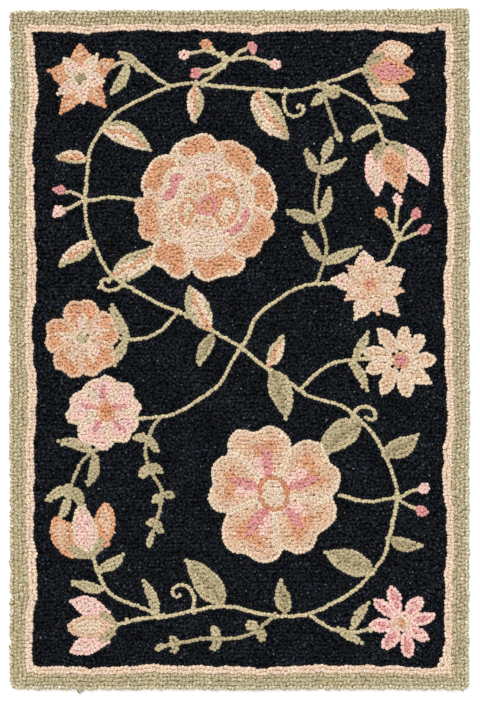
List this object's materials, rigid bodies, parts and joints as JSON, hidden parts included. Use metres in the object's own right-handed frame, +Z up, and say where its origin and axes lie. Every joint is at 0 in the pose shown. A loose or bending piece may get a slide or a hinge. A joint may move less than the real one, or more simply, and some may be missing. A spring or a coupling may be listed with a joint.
{
  "type": "hooked rug",
  "caption": "Small rectangular hooked wool rug lying flat, with a low looped pile, a wide plain border, a narrow inner line and a rounded outer row.",
  "frame": {"origin": "middle of the rug's box on its underside, which lies on the plane z = 0", "axes": "+Z up through the pile, Y along the rug's long side with the picture's top edge at +Y, X across it"},
  "size_m": [0.6111, 0.9046, 0.008],
  "materials": {
    "wool_pile": "matt looped wool, near-black field",
    "wool_border": "matt looped wool, khaki sage",
    "wool_line": "matt looped wool, peach cream",
    "wool_motifs": "matt looped wool, coral, rose, cream and sage yarns",
    "ground_cloth": "plain-woven cotton ground, undyed"
  },
  "bodies": {
    "root": {"rug": "wool_pile"}
  },
  "joints": []
}
